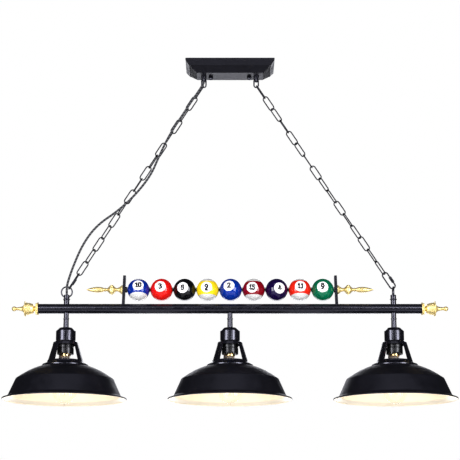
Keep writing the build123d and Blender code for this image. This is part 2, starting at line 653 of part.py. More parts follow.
def make_shade(x):
    """Spun steel barn shade with a flared, rolled rim."""
    outer = [(r, 0, RIM_Z + z) for r, z, _ in SHADE_OUTLINE]
    inner = [(r, 0, RIM_Z + z) for r, z in offset_outline(SHADE_OUTLINE, SHADE_WALL)]
    radii = [corner for _, _, corner in SHADE_OUTLINE[1:-1]]
    outer_line = FilletPolyline(*outer, radius=radii)
    inner_line = FilletPolyline(*inner, radius=radii)
    ends = [Line(outer[0], inner[0]), Line(outer[-1], inner[-1])]
    shell = revolve(make_face([outer_line, inner_line] + ends), Axis.Z)
    shell += Pos(0, 0, RIM_Z + RIM_BEAD_R) * Torus(RIM_R - RIM_BEAD_R, RIM_BEAD_R)
    return Pos(x, 0, 0) * shell


def bulb_solid(shrink):
    outline = [(r - shrink, BAR_Z - below) for r, below in BULB_OUTLINE]
    outline[-1] = (outline[-1][0], outline[-1][1] + shrink)
    body = turned(outline, smooth=True)
    return body + rod_between(BULB_OUTLINE[0][0] - shrink, BULB_CAP_BOTTOM, BAR_Z - 114.4 - shrink)


def make_bulb_glass(x):
    glass = bulb_solid(0)
    glass += Pos(0, 0, BULB_NUB_Z) * Sphere(BULB_NUB_R)
    return Pos(x, 0, 0) * (glass - bulb_solid(BULB_WALL))


def make_bulb_cap(x):
    """Hollow screw cap of the bulb with its insulator and centre tip."""
    cap = turned([(0, BULB_TIP_Z), (3.2, BULB_TIP_Z), (4.6, BULB_TIP_Z - 1.2), (5.2, BULB_TIP_Z - 1.6),
                  (10.4, BULB_TIP_Z - 4.6), (12.2, BULB_TIP_Z - 5.4), (BULB_CAP_R, BULB_TIP_Z - 6.6),
                  (BULB_CAP_R, BULB_CAP_BOTTOM), (12.3, BULB_CAP_BOTTOM), (12.3, BULB_TIP_Z - 7.5),
                  (0, BULB_TIP_Z - 7.5)])
    return Pos(x, 0, 0) * cap


# ---------------------------------------------------------------- write every piece
def main():
    os.makedirs("parts", exist_ok=True)

    node("canopy", make_canopy())
    node("crossbar", make_crossbar())
    node("crossbar_screws", make_crossbar_screws())
    node("stud_nuts", make_stud_nuts())
    node("canopy_cap_nuts", make_cap_nuts())
    node("canopy_loops", [make_canopy_loop(-LOOP_X), make_canopy_loop(LOOP_X)])
    node("canopy_loop_nuts", make_loop_nuts())
    node("wire_nuts", make_wire_nuts())
    node("supply_leads", make_supply_leads())

    chains = ((LEFT_CHAIN, LEFT_ROLLS), (RIGHT_CHAIN, RIGHT_ROLLS))
    node("chain_top_links", [chain.link(0, rolls[0]) for chain, rolls in chains])
    for name, (chain, rolls) in zip(("chain_left", "chain_right"), chains):
        node(name, [chain.link(index, rolls[index]) for index in range(1, LINKS_PER_CHAIN)])
    quick_places = (("left", LEFT_CHAIN, LEFT_QUICK_ROLL), ("right", RIGHT_CHAIN, RIGHT_QUICK_ROLL))
    quick_links = []
    for name, chain, roll in quick_places:
        quick_links.append(chain.place(make_quick_link(), chain.quick, QUICK_LENGTH, roll))
        nut = chain.place(make_quick_nut(), chain.quick, QUICK_LENGTH, roll)
        node(f"quick_link_nut_{name}", nut)
    node("quick_links", quick_links)
    node("cord", make_cord())

    node("bar_tube", make_bar_tube())
    node("end_plugs", make_end_plugs())
    node("hanger_left", make_hanger(LAMP_X[0], 0))
    node("hanger_right", make_hanger(LAMP_X[2], 90))
    node("bar_nipples", make_nipples())
    node("bar_wiring", make_bar_wiring())
    node("end_finial_left", make_end_finial(-1))
    node("end_finial_right", make_end_finial(1))

    node("post_left", make_post(-1))
    node("post_right", make_post(1))
    node("ball_rod", make_rod())
    node("rod_nuts", make_rod_nuts())
    node("ball_spacers", make_spacers())
    node("spear_left", make_spear(-1))
    node("spear_right", make_spear(1))
    for index in range(9):
        node(f"ball_{index + 1}", make_ball(index))

    node("stem_couplings", make_stem_couplings())
    node("stems", make_stems())
    node("lampholders", [make_lampholder(x) for x in LAMP_X])
    node("screw_shells", [make_screw_shell(x) for x in LAMP_X])
    node("shade_rings", [make_shade_ring(x) for x in LAMP_X])
    for name, x, turn in zip(SIDE_NAMES, LAMP_X, NECK_TURNS):
        node(f"socket_cup_{name}", make_cup(x))
        node(f"shade_neck_{name}", make_neck(x, turn))
        node(f"shade_{name}", make_shade(x))
        node(f"bulb_glass_{name}", make_bulb_glass(x))
        node(f"bulb_cap_{name}", make_bulb_cap(x))

    for name, chain in (("left", LEFT_CHAIN), ("right", RIGHT_CHAIN)):
        print(name, "pivots", chain.upper_pivot, chain.lower_pivot)


main()
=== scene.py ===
"""Looks of the pool table lamp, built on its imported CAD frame."""

import json
import math

import bmesh
import bpy
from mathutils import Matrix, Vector


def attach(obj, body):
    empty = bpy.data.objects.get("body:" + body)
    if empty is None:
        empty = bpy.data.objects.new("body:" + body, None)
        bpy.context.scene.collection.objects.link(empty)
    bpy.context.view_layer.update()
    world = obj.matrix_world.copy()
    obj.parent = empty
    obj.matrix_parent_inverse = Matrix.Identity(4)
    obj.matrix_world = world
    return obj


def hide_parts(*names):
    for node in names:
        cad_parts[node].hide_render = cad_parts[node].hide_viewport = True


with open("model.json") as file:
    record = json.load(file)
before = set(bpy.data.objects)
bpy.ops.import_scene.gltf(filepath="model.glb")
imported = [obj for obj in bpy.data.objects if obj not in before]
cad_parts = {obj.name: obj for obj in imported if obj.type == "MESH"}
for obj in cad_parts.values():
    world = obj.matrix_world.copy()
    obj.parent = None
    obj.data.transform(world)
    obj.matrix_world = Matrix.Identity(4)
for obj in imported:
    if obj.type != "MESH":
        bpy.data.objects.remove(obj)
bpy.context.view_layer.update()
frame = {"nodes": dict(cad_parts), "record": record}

# ---------------------------------------------------------------- sizes, in metres
BAR_Z = -0.656
LAMP_X = (-0.4195, 0.0, 0.4195)
SIDES = ("left", "middle", "right")
RIM_Z = BAR_Z - 0.234
BALL_R = 0.05715 / 2
BALL_BORE_R = 0.00307
BALL_PITCH = 0.0592
BALL_MIDDLE_X = 0.0016
BALL_Z = BAR_Z + 0.0497

# ---------------------------------------------------------------- camera
camera_data = bpy.data.cameras.new("camera")
camera_data.lens = 119.9
camera_data.sensor_width = 36.0
camera_data.clip_end = 60.0
camera = bpy.data.objects.new("camera", camera_data)
camera.location = (0.0, -3.8805, -1.3085)
camera.rotation_euler = (math.radians(90) + 0.218, 0.0, 0.0)
bpy.context.scene.collection.objects.link(camera)
bpy.context.scene.camera = camera


# ---------------------------------------------------------------- node helpers
class Material:
    """A new material and short ways to add nodes to it."""

    def __init__(self, name):
        self.data = bpy.data.materials.new(name)
        self.data.use_nodes = True
        self.tree = self.data.node_tree
        self.shader = self.tree.nodes["Principled BSDF"]
        self.coords = self.tree.nodes.new("ShaderNodeTexCoord").outputs["Object"]

    def put(self, **values):
        """Set constant values on the shader's own sockets."""
        for name, value in values.items():
            self.shader.inputs[name.replace("_", " ")].default_value = value

    def link(self, source, target):
        self.tree.links.new(source, target)

    def into(self, source, socket):
        self.link(source, self.shader.inputs[socket])

    def noise(self, scale, detail=3.0, stretch=None):
        node = self.tree.nodes.new("ShaderNodeTexNoise")
        node.inputs["Scale"].default_value = scale
        node.inputs["Detail"].default_value = detail
        source = self.vector("MULTIPLY", self.coords, stretch) if stretch else self.coords
        self.link(source, node.inputs["Vector"])
        return node.outputs["Fac"]

    def math(self, operation, first, second=None):
        node = self.tree.nodes.new("ShaderNodeMath")
        node.operation = operation
        for index, value in enumerate((first, second)):
            if value is None:
                continue
            if isinstance(value, (int, float)):
                node.inputs[index].default_value = value
            else:
                self.link(value, node.inputs[index])
        return node.outputs[0]

    def vector(self, operation, first, second=None):
        node = self.tree.nodes.new("ShaderNodeVectorMath")
        node.operation = operation
        self.link(first, node.inputs[0])
        if second is not None:
            node.inputs[1].default_value = second
        return node.outputs["Value" if operation in ("DOT_PRODUCT", "LENGTH") else "Vector"]

    def spread(self, source, low, high, to_low, to_high):
        """Map a value from one range to another, clamped."""
        node = self.tree.nodes.new("ShaderNodeMapRange")
        self.link(source, node.inputs["Value"])
        node.inputs["From Min"].default_value = low
        node.inputs["From Max"].default_value = high
        node.inputs["To Min"].default_value = to_low
        node.inputs["To Max"].default_value = to_high
        return node.outputs["Result"]

    def mix(self, factor, first, second):
        """Mix two colours; each is a constant or a socket."""
        node = self.tree.nodes.new("ShaderNodeMix")
        node.data_type = "RGBA"
        self.link(factor, node.inputs["Factor"])
        for socket, value in ((6, first), (7, second)):
            if isinstance(value, tuple):
                node.inputs[socket].default_value = (*value, 1.0)
            else:
                self.link(value, node.inputs[socket])
        return node.outputs[2]

    def bump(self, height, strength, distance):
        node = self.tree.nodes.new("ShaderNodeBump")
        node.inputs["Strength"].default_value = strength
        node.inputs["Distance"].default_value = distance
        self.link(height, node.inputs["Height"])
        self.into(node.outputs["Normal"], "Normal")


def coated_metal(name, dark, light, rough, grain, coat=0.0, shine=0.5):
    """Black coated steel: slightly uneven colour, fine orange peel and uneven gloss."""
    made = Material(name)
    made.put(Coat_Weight=coat, Coat_Roughness=0.1)
    made.put(Specular_IOR_Level=shine, Specular_Tint=(0.86, 0.85, 1.0, 1.0))
    cloud = made.noise(18.0, 4.0)
    made.into(made.mix(made.spread(cloud, 0.3, 0.7, 0.0, 1.0), dark, light), "Base Color")
    smear = made.noise(55.0, 5.0)
    made.into(made.spread(smear, 0.3, 0.7, rough - 0.05, rough + 0.07), "Roughness")
    made.bump(made.noise(1500.0, 2.0), grain, 0.0002)
    return made.data


def plated_metal(name, dark, light, rough, lines):
    """Bare or plated metal with faint brushing."""
    made = Material(name)
    made.put(Metallic=1.0)
    cloud = made.noise(60.0, 4.0)
    made.into(made.mix(made.spread(cloud, 0.3, 0.7, 0.0, 1.0), dark, light), "Base Color")
    brushed = made.noise(400.0, 3.0, stretch=lines)
    made.into(made.spread(brushed, 0.3, 0.7, rough - 0.06, rough + 0.08), "Roughness")
    made.bump(brushed, 0.12, 0.0002)
    return made.data


def moulded_plastic(name, dark, light, rough):
    """Moulded plastic: slightly uneven colour and gloss over a very fine grain."""
    made = Material(name)
    cloud = made.noise(45.0, 3.0)
    made.into(made.mix(made.spread(cloud, 0.3, 0.7, 0.0, 1.0), dark, light), "Base Color")
    made.into(made.spread(made.noise(160.0, 4.0), 0.3, 0.7, rough - 0.05, rough + 0.06), "Roughness")
    made.bump(made.noise(2200.0, 2.0), 0.1, 0.0001)
    return made.data


SATIN_BLACK = coated_metal("satin_black", (0.002, 0.002, 0.003), (0.005, 0.005, 0.007), 0.34, 0.1, 0.0, 0.4)
BAR_BLACK = coated_metal("bar_black", (0.002, 0.002, 0.004), (0.004, 0.004, 0.007), 0.24, 0.015, 0.0, 0.8)
SHADE_BLACK = coated_metal("shade_black", (0.003, 0.003, 0.005), (0.006, 0.006, 0.009), 0.42, 0.08)
GLOSS_BLACK = coated_metal("gloss_black", (0.002, 0.002, 0.004), (0.005, 0.005, 0.008), 0.24, 0.05, 0.3, 0.8)
CHAIN_BLACK = coated_metal("chain_black", (0.002, 0.002, 0.002), (0.005, 0.005, 0.005), 0.42, 0.15)
ZINC = plated_metal("zinc", (0.55, 0.55, 0.54), (0.72, 0.72, 0.72), 0.32, (1.0, 1.0, 0.1))
BRASS = plated_metal("bulb_brass", (0.74, 0.54, 0.26), (0.87, 0.68, 0.36), 0.25, (0.2, 0.2, 1.0))
HOLDER_BLACK = moulded_plastic("holder_black", (0.008, 0.008, 0.009), (0.014, 0.014, 0.015), 0.24)
SPACER_BLACK = moulded_plastic("spacer_black", (0.01, 0.01, 0.01), (0.016, 0.016, 0.016), 0.4)
NUT_ORANGE = moulded_plastic("nut_orange", (0.62, 0.2, 0.04), (0.74, 0.27, 0.06), 0.42)
WIRE_WHITE = moulded_plastic("wire_white", (0.72, 0.72, 0.7), (0.82, 0.82, 0.8), 0.38)


def make_enamel():
    """Cream enamel inside a shade, slightly uneven in colour and gloss, with a fine grain."""
    made = Material("cream_enamel")
    cloud = made.noise(9.0, 4.0)
    made.into(made.mix(made.spread(cloud, 0.3, 0.7, 0.0, 1.0), (0.86, 0.78, 0.62), (0.92, 0.86, 0.72)),
              "Base Color")
    made.into(made.spread(made.noise(70.0, 4.0), 0.3, 0.7, 0.3, 0.42), "Roughness")
    made.bump(made.noise(1100.0, 2.0), 0.15, 0.0002)
    return made.data


def make_gilt(name, axis_height):
    """Pale antique gold, darker in the narrow parts close to the lengthways axis at axis_height."""
    made = Material(name)
    made.put(Metallic=0.7)
    offset = made.vector("SUBTRACT", made.coords, (0.0, 0.0, axis_height))
    radius = made.vector("LENGTH", made.vector("MULTIPLY", offset, (0.0, 1.0, 1.0)))
    speckle = made.noise(700.0, 5.0)
    depth = made.math("ADD", radius, made.math("MULTIPLY", made.math("SUBTRACT", speckle, 0.5), 0.004))
    polish = made.spread(depth, 0.0035, 0.009, 0.4, 1.0)
    made.into(made.mix(polish, (0.4, 0.26, 0.07), (1.0, 0.82, 0.38)), "Base Color")
    made.into(made.spread(made.noise(300.0, 4.0), 0.3, 0.7, 0.3, 0.44), "Roughness")
    made.bump(made.noise(900.0, 4.0), 0.15, 0.0003)
    return made.data


ENAMEL = make_enamel()
GILT_BAR = make_gilt("gilt_bar", BAR_Z)
GILT_ROD = make_gilt("gilt_rod", BALL_Z)


# ---------------------------------------------------------------- mesh helpers
def new_object(name, vertices, faces, materials, sharp=32.0):
    """Mesh object with smooth faces and sharp edges where it turns by more than sharp degrees."""
    mesh = bpy.data.meshes.new(name)
    mesh.from_pydata(vertices, [], faces)
    mesh.validate()
    for polygon in mesh.polygons:
        polygon.use_smooth = True
    mesh.set_sharp_from_angle(angle=math.radians(sharp))
    for material in materials:
        mesh.materials.append(material)
    made = bpy.data.objects.new(name, mesh)
    bpy.context.scene.collection.objects.link(made)
    return made


def rounded(points, radii, steps=5):
    """Replace the corners of an open outline of (radius, height) points by arcs."""
    result = [points[0]]
    for index in range(1, len(points) - 1):
        before = Vector(points[index - 1])
        here = Vector(points[index])
        after = Vector(points[index + 1])
        size = radii[index - 1]
        first = before - here
        second = after - here
        if not size:
            result.append(tuple(here))
            continue
        angle = first.angle(second)
        cut = min(size / math.tan(angle / 2), 0.49 * first.length, 0.49 * second.length)
        start = here + first.normalized() * cut
        end = here + second.normalized() * cut
        for step in range(steps + 1):
            t = step / steps
            point = start * (1 - t) ** 2 + here * 2 * t * (1 - t) + end * t ** 2
            result.append(tuple(point))
    result.append(points[-1])
    return result


def lathe(name, outline, centre, materials, segments=96, along="Z", closed=True, sharp=32.0, change=None):
    """Turn an outline of (radius, height) about an axis; from its point change on, use material two."""
    vertices = []
    for radius, height in outline:
        for index in range(segments):
            angle = 2 * math.pi * index / segments
            first = radius * math.cos(angle)
            second = radius * math.sin(angle)
            place = (first, second, height) if along == "Z" else (height, first, second)
            vertices.append(Vector(place) + Vector(centre))
    faces = []
    rings = len(outline)
    for ring in range(rings if closed else rings - 1):
        low = ring * segments
        high = (ring + 1) % rings * segments
        for index in range(segments):
            following = (index + 1) % segments
            faces.append((low + index, low + following, high + following, high + index))
    made = new_object(name, vertices, faces, materials, sharp)
    if change is not None:
        for polygon in made.data.polygons:
            polygon.material_index = 1 if polygon.index >= change * segments else 0
    fix_normals(made)
    return made


def fix_normals(made):
    """Merge doubled points and turn every face outwards."""
    shape = bmesh.new()
    shape.from_mesh(made.data)
    bmesh.ops.remove_doubles(shape, verts=shape.verts, dist=1e-6)
    bmesh.ops.recalc_face_normals(shape, faces=shape.faces)
    shape.to_mesh(made.data)
    shape.free()


def wear(piece, body, slot, *nodes):
    """Let a piece ride on a body and hide the CAD nodes it stands for; slot is not used."""
    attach(piece, body)
    if nodes:
        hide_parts(*nodes)
    return piece


# ---------------------------------------------------------------- supply cord
CORD_D = 0.006
CORD_ROUTE = (
    (-0.0693, 0.0, -0.0427), (-0.0693, -0.0016, -0.0496), (-0.0712, -0.0114, -0.0570),
    (-0.0785, -0.0152, -0.0710), (-0.0975, -0.0136, -0.0990), (-0.1290, -0.0132, -0.1485),
    (-0.1605, -0.0130, -0.1995), (-0.1865, -0.0132, -0.2570), (-0.2065, -0.0134, -0.3065),
    (-0.2460, -0.0130, -0.3585), (-0.2905, -0.0124, -0.4010), (-0.3445, -0.0110, -0.4385),
    (-0.3795, -0.0096, -0.4870), (-0.4040, -0.0084, -0.5465), (-0.4178, -0.0074, -0.5900),
    (-0.4195, -0.0052, -0.6065), (-0.4195, 0.0, -0.6175), (-0.4195, 0.0, -0.6250))
STRAND_PITCH = 0.009
STRAND_SIDES = 12


def spline_points(route):
    """Points along the smooth curve that has the route as its control points."""
    curve = bpy.data.curves.new("cord_line", "CURVE")
    curve.dimensions = "3D"
    spline = curve.splines.new("NURBS")
    spline.points.add(len(route) - 1)
    for point, place in zip(spline.points, route):
        point.co = (*place, 1.0)
    spline.order_u = 3
    spline.use_endpoint_u = True
    spline.resolution_u = 40
    line = bpy.data.objects.new("cord_line", curve)
    bpy.context.scene.collection.objects.link(line)
    bpy.context.view_layer.update()
    mesh = bpy.data.meshes.new_from_object(line)
    points = [vertex.co.copy() for vertex in mesh.vertices]
    bpy.data.objects.remove(line)
    bpy.data.meshes.remove(mesh)
    return points


def make_strand_material(name, dark, light):
    """Braided cotton cover of one strand."""
    made = Material(name)
    weave = made.noise(1400.0, 3.0)
    made.into(made.mix(made.spread(weave, 0.35, 0.65, 0.0, 1.0), dark, light), "Base Color")
    made.into(made.spread(made.noise(500.0, 3.0), 0.3, 0.7, 0.62, 0.82), "Roughness")
    made.put(Sheen_Weight=0.3, Sheen_Roughness=0.5)
    made.bump(weave, 0.5, 0.0004)
    return made.data


def make_cord():
    """Two strands wound round each other along the cord's line, one black and one lighter; the lighter one is
    painted sheen on a black cord.
    """
    path = spline_points(CORD_ROUTE)
    side = (path[1] - path[0]).cross(Vector((0, 1, 0))).normalized()
    vertices = []
    run = 0.0
    for index, here in enumerate(path):
        ahead = path[min(index + 1, len(path) - 1)]
        behind = path[max(index - 1, 0)]
        tangent = (ahead - behind).normalized()
        side = (side - tangent * side.dot(tangent)).normalized()
        other = tangent.cross(side)
        if index:
            run += (here - path[index - 1]).length
        twist = 2 * math.pi * run / STRAND_PITCH
        for corner in range(STRAND_SIDES):
            angle = 2 * math.pi * corner / STRAND_SIDES
            lobe = 0.5 * CORD_D * (0.86 + 0.14 * abs(math.sin(angle)))
            spot = math.cos(angle + twist) * side + math.sin(angle + twist) * other
            vertices.append(here + lobe * spot)
    faces = []
    for ring in range(len(path) - 1):
        for corner in range(STRAND_SIDES):
            following = (corner + 1) % STRAND_SIDES
            low = ring * STRAND_SIDES
            high = low + STRAND_SIDES
            faces.append((low + corner, low + following, high + following, high + corner))
    faces.append(tuple(reversed(range(STRAND_SIDES))))
    faces.append(tuple(range((len(path) - 1) * STRAND_SIDES, len(path) * STRAND_SIDES)))
    black = make_strand_material("strand_black", (0.003, 0.003, 0.004), (0.01, 0.01, 0.011))
    # the second strand's lighter colour is painted sheen: the light on a black cord, set as colour
    grey = make_strand_material("strand_painted_sheen", (0.05, 0.05, 0.055), (0.12, 0.12, 0.125))
    made = new_object("supply_cord", vertices, faces, (black, grey), 80.0)
    for polygon in made.data.polygons:
        corner = polygon.vertices[0] % STRAND_SIDES
        polygon.material_index = 1 if corner < STRAND_SIDES / 2 else 0
    wear(made, "chain_left", "cord_cloth", "cord")


make_cord()

# ---------------------------------------------------------------- shades
SHADE_WALL = 0.0012
RIM_R = 0.158
RIM_BEAD_R = 0.0019
# the rolled rim is an arc in degrees, from BEAD_START clockwise through BEAD_TURN
BEAD_START = 130
BEAD_TURN = 280
BEAD_STEPS = 14
ENAMEL_FROM = 8             # point of the rim where the black outside ends
# outside of a shade, from the crown down: radius and height over the rim, and each corner's radius
SHADE_OUTLINE = ((0.0445, 0.0886), (0.0580, 0.0866), (0.0760, 0.0802), (0.0930, 0.0723),
                 (0.1090, 0.0626), (0.1239, 0.0526), (0.1429, 0.0098), (0.1561, 0.0022))
SHADE_CORNERS = (0.06, 0.06, 0.06, 0.06, 0.007, 0.005)


def shifted(outline, distance):
    """The outline moved square to itself by distance, towards the axis and down."""
    result = []
    for index, (radius, height) in enumerate(outline):
        before = outline[max(index - 1, 0)]
        after = outline[min(index + 1, len(outline) - 1)]
        run = Vector((after[0] - before[0], after[1] - before[1])).normalized()
        result.append((radius + run.y * distance, height - run.x * distance))
    return result


def make_shade(side, x):
    """One shade: black outside, rolled rim and enamelled inside in one turned skin."""
    outside = rounded(SHADE_OUTLINE, SHADE_CORNERS)
    inside = shifted(outside, SHADE_WALL)
    centre_r = RIM_R - RIM_BEAD_R
    bead = []
    for step in range(1, BEAD_STEPS):
        angle = math.radians(BEAD_START - BEAD_TURN * step / BEAD_STEPS)
        bead.append((centre_r + RIM_BEAD_R * math.cos(angle), RIM_BEAD_R + RIM_BEAD_R * math.sin(angle)))
    made = lathe(f"shade_{side}_skin", outside + bead + inside[::-1], (x, 0, RIM_Z),
                 (SHADE_BLACK, ENAMEL), 160, change=len(outside) + ENAMEL_FROM)
    wear(made, "bar", "shade_paint", f"shade_{side}")


for side, x in zip(SIDES, LAMP_X):
    make_shade(side, x)

# ---------------------------------------------------------------- pool balls
# white ends of the striped balls, painted darker than the number discs' white: painted shade on one white
# material
SHADED_END_WHITE = (0.7, 0.685, 0.65)
DISC_WHITE = (0.86, 0.85, 0.82)
# number, colour, striped, where the number's middle sits on the ball (right, up) and its tilt in degrees
BALLS = (
    ("10", (0.001, 0.03, 0.3), True, (0.01, 0.3), 4),
    ("3", (0.74, 0.01, 0.006), False, (-0.1, 0.18), 6),
    ("8", (0.003, 0.003, 0.004), False, (-0.17, 0.06), 0),
    ("9", (0.92, 0.68, 0.015), True, (-0.1, 0.115), 0),
    ("2", (0.001, 0.035, 0.3), False, (-0.17, 0.25), 8),
    ("15", (0.26, 0.002, 0.01), True, (-0.17, 0.09), -8),
    ("4", (0.01, 0.002, 0.05), False, (0.26, 0.01), 12),
    ("11", (0.78, 0.025, 0.008), True, (0.04, 0.2), -3),
    ("6", (0.001, 0.165, 0.075), False, (-0.06, 0.125), 180),
)
STRIPE_HALF_ANGLE = 38.0
DISC_ANGLE = 30.0
DIGIT_SIZE = 0.0152


def ball_frame(right, up):
    """Directions of a ball's number and of its stripe's pole."""
    front = -math.sqrt(1 - right ** 2 - up ** 2)
    number = Vector((right, front, up))
    pole = (Vector((0, 0, 1)) - number * up).normalized()
    return number, pole


def make_ball_material(name, colour, striped, number, pole):
    """Polished resin with a white disc round the number and, on striped balls, white ends painted darker than
    the disc as painted shade.
    """
    made = Material(name)
    surface = made.vector("NORMALIZE", made.coords)
    lift = made.vector("DOT_PRODUCT", surface, tuple(number))
    outer, inner = (math.cos(math.radians(DISC_ANGLE + blur)) for blur in (0.4, -0.4))
    disc = made.spread(lift, outer, inner, 0.0, 1.0)
    cloud = made.spread(made.noise(60.0, 3.0), 0.3, 0.7, 0.0, 1.0)
    deep = tuple(0.9 * part for part in colour)
    tint = made.mix(cloud, colour, deep)
    # the ends' white is darker than the disc white as painted shade
    shaded_end_white = made.mix(cloud, SHADED_END_WHITE, tuple(0.96 * part for part in SHADED_END_WHITE))
    if striped:
        height = made.math("ABSOLUTE", made.vector("DOT_PRODUCT", surface, tuple(pole)))
        edge = math.sin(math.radians(STRIPE_HALF_ANGLE))
        tint = made.mix(made.spread(height, edge - 0.006, edge + 0.006, 0.0, 1.0), tint, shaded_end_white)
    made.into(made.mix(disc, tint, DISC_WHITE), "Base Color")
    made.into(made.spread(made.noise(90.0, 4.0), 0.3, 0.7, 0.05, 0.1), "Roughness")
    return made.data


def arc(x, y, wide, high, start, end):
    """Points of part of an ellipse; angles in degrees, anticlockwise from the right."""
    steps = max(3, round(abs(end - start) / 20))
    angles = [math.radians(start + (end - start) * step / steps) for step in range(steps + 1)]
    return [(x + wide * math.cos(angle), y + high * math.sin(angle)) for angle in angles]


# the six and the nine, which is the six upside down, each have a line under them
SIX = [arc(0, -0.17, 0.22, 0.23, 0, 360), [(-0.22, -0.17), (-0.2, 0.08), (-0.08, 0.28), (0.14, 0.4)],
       [(-0.2, -0.58), (0.2, -0.58)]]
# strokes of each digit in a box one unit high
STROKES = {
    "0": [arc(0, 0, 0.21, 0.4, 0, 360)],
    "1": [[(-0.15, 0.26), (0.02, 0.4), (0.02, -0.4)], [(-0.16, -0.4), (0.2, -0.4)]],
    "2": [arc(0, 0.18, 0.22, 0.22, 165, -25) + [(-0.23, -0.39), (0.25, -0.39)]],
    "3": [arc(-0.02, 0.2, 0.2, 0.2, 150, -90), arc(-0.02, -0.2, 0.24, 0.2, 90, -150)],
    "4": [[(0.1, -0.4), (0.1, 0.4), (-0.26, -0.14), (0.26, -0.14)]],
    "5": [[(0.2, 0.4), (-0.17, 0.4), (-0.2, 0.04)] + arc(-0.01, -0.15, 0.24, 0.25, 125, -150)],
    "6": SIX,
    "8": [arc(0, 0.21, 0.18, 0.18, 0, 360), arc(0, -0.19, 0.23, 0.21, 0, 360)],
    "9": [[(-x, -y) for x, y in SIX[0]], [(-x, -y) for x, y in SIX[1]], SIX[2]],
}
STROKE_HALF = 0.125
DIGIT_ADVANCE = 0.54
DIGIT_LIFT = 0.0001


def split_long(line, longest):
    """The line with its long runs divided, so that it can follow a curved surface."""
    result = [line[0]]
    for start, end in zip(line, line[1:]):
        parts = math.ceil(math.dist(start, end) / longest)
        for part in range(1, parts + 1):
            share = part / parts
            result.append(tuple(a + (b - a) * share for a, b in zip(start, end)))
    return result


def make_digits(name, text, centre, number, pole, tilt):
    """The ball's number as a thin print that follows the ball's surface."""
    flat = []
    faces = []
    for place, digit in enumerate(text):
        offset = (place - (len(text) - 1) / 2) * DIGIT_ADVANCE
        for stroke in STROKES[digit]:
            line = split_long([(x + offset, y) for x, y in stroke], 0.12)
            for (x0, y0), (x1, y1) in zip(line, line[1:]):
                length = math.dist((x0, y0), (x1, y1))
                along = ((x1 - x0) / length * STROKE_HALF, (y1 - y0) / length * STROKE_HALF)
                base = len(flat)
                flat += [(x0 - along[1], y0 + along[0]), (x0 + along[1], y0 - along[0]),
                         (x1 + along[1], y1 - along[0]), (x1 - along[1], y1 + along[0])]
                faces.append((base, base + 1, base + 2, base + 3))
            for x, y in line:
                base = len(flat)
                flat += [(x + STROKE_HALF * math.cos(turn), y + STROKE_HALF * math.sin(turn))
                         for turn in (math.pi / 4 * corner for corner in range(8))]
                faces.append(tuple(range(base, base + 8)))
    right = pole.cross(number).normalized()
    turn = math.radians(tilt)
    vertices = []
    # lay the flat strokes on the ball
    for x, y in flat:
        across = DIGIT_SIZE * (x * math.cos(turn) - y * math.sin(turn))
        along = DIGIT_SIZE * (x * math.sin(turn) + y * math.cos(turn))
        spot = number * BALL_R + right * across + pole * along
        vertices.append(centre + spot.normalized() * (BALL_R + DIGIT_LIFT))
    return new_object(name, vertices, faces, (DIGIT_BLACK,))


DIGIT_BLACK = moulded_plastic("digit_black", (0.008, 0.008, 0.008), (0.012, 0.012, 0.012), 0.14)
BALL_SLOTS = {part["node"]: part["material_slot"] for part in frame["record"]["subparts"]}
BALL_STEPS = 64


def make_ball(index):
    """One bored ball with its number; the skin's origin is the ball's centre."""
    text, colour, striped, (right, up), tilt = BALLS[index]
    centre = Vector((BALL_MIDDLE_X + (index - 4) * BALL_PITCH, 0.0, BALL_Z))
    number, pole = ball_frame(right, up)
    reach = math.asin(BALL_BORE_R / BALL_R)
    outline = []
    for step in range(BALL_STEPS + 1):
        angle = reach + (math.pi - 2 * reach) * step / BALL_STEPS
        outline.append((BALL_R * math.sin(angle), -BALL_R * math.cos(angle)))
    body = f"ball_{index + 1}"
    made = lathe(f"{body}_skin", outline, (0, 0, 0), (), 96, "X")
    made.location = centre
    made.data.materials.append(make_ball_material(f"ball_{text}", colour, striped, number, pole))
    wear(made, body, BALL_SLOTS[body], body)
    digits = make_digits(f"{body}_number", text, centre, number, pole, tilt)
    wear(digits, body, BALL_SLOTS[body])


for index in range(len(BALLS)):
    make_ball(index)

# ---------------------------------------------------------------- bulbs
# glass from the cap down to the drawn tip: radius, distance below the bar axis
BULB_OUTLINE = ((0.0122, 0.116), (0.0122, 0.122), (0.0142, 0.130), (0.0186, 0.146), (0.0256, 0.167),
                (0.0309, 0.188), (0.0320, 0.203), (0.0296, 0.220), (0.0220, 0.2345), (0.0110, 0.2422),
                (0.0026, 0.2436), (0.0022, 0.2468), (0.0012, 0.2476), (0.0, 0.2477))


def make_glass():
    """Clear thin glass with the warm glow of the lit filament on it."""
    made = Material("bulb_glass_lit")
    made.put(Alpha=0.22, IOR=1.45, Transmission_Weight=1.0)
    made.put(Emission_Color=(1.0, 0.8, 0.6, 1.0), Emission_Strength=0.12)
    cloud = made.spread(made.noise(35.0, 3.0), 0.3, 0.7, 0.0, 1.0)
    made.into(made.mix(cloud, (1.0, 0.93, 0.8), (1.0, 0.96, 0.88)), "Base Color")
    made.into(made.spread(made.noise(120.0, 3.0), 0.3, 0.7, 0.03, 0.08), "Roughness")
    return made.data


def make_stem_glass():
    """Pressed clear glass of the bulb's foot."""
    made = Material("bulb_foot_glass")
    made.put(Alpha=0.6, IOR=1.5, Transmission_Weight=0.8)
    cloud = made.spread(made.noise(200.0, 3.0), 0.3, 0.7, 0.0, 1.0)
    made.into(made.mix(cloud, (0.8, 0.82, 0.82), (0.92, 0.93, 0.93)), "Base Color")
    made.into(made.spread(made.noise(300.0, 3.0), 0.3, 0.7, 0.08, 0.16), "Roughness")
    return made.data


def make_filament_material():
    """Glowing tungsten."""
    made = Material("filament_glow")
    made.put(Emission_Color=(1.0, 0.72, 0.36, 1.0))
    made.into(made.spread(made.noise(600.0, 2.0), 0.3, 0.7, 1.0, 1.6), "Emission Strength")
    return made.data


